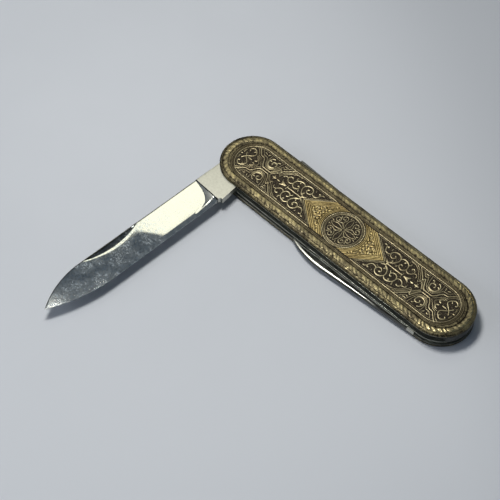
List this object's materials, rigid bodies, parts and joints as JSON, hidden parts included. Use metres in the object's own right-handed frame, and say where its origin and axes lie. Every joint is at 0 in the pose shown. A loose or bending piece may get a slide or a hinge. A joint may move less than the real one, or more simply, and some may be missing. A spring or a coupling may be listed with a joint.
{
  "type": "pocket knife",
  "caption": "Folding pocket knife with a spear-point main blade standing half open, a closed pen blade, back springs and gilt covers with scrollwork on a dark ground.",
  "frame": {"origin": "centre of the rear medallion's flat face, on which the knife lies", "axes": "+X along the handle towards the pen blade's pivot, +Y towards the back springs, +Z through the covers towards the front"},
  "size_m": [0.0869, 0.0825, 0.006],
  "materials": {
    "gilt_brass": "aged gilt with a rope pattern on the rim",
    "gold_leaf": "gold inlay, finely engraved",
    "blackened_steel": "blackened, with gold scrollwork",
    "liner_brass": "satin, darkened",
    "rivet_brass": "satin",
    "blade_steel": "mirror polished with fine scratches",
    "spring_steel": "satin"
  },
  "bodies": {
    "handle": {"front_cover": "gilt_brass", "front_panel": "blackened_steel", "front_lozenge": "gold_leaf", "front_medallion": "blackened_steel", "front_cover_rivets": "rivet_brass", "rear_cover": "gilt_brass", "rear_panel": "blackened_steel", "rear_lozenge": "gold_leaf", "rear_medallion": "blackened_steel", "rear_cover_rivets": "rivet_brass", "front_liner": "liner_brass", "centre_liner": "liner_brass", "rear_liner": "liner_brass", "main_spring": "spring_steel", "pen_spring": "spring_steel", "main_pivot_pin": "rivet_brass", "pen_pivot_pin": "rivet_brass", "middle_rivet": "rivet_brass"},
    "main_blade": {"main_blade": "blade_steel"},
    "pen_blade": {"pen_blade": "blade_steel"}
  },
  "joints": [
    {"name": "main_blade_pivot", "type": "hinge", "parent": "handle", "child": "main_blade", "pos_m": [-0.0336, -0.0029, 0.0038], "axis": [0, 0, -1], "range_deg": [-90.9, 87.1]},
    {"name": "pen_blade_pivot", "type": "hinge", "parent": "handle", "child": "pen_blade", "pos_m": [0.0357, -0.0037, 0.00185], "axis": [0, 0, 1], "range_deg": [0, 176]}
  ]
}
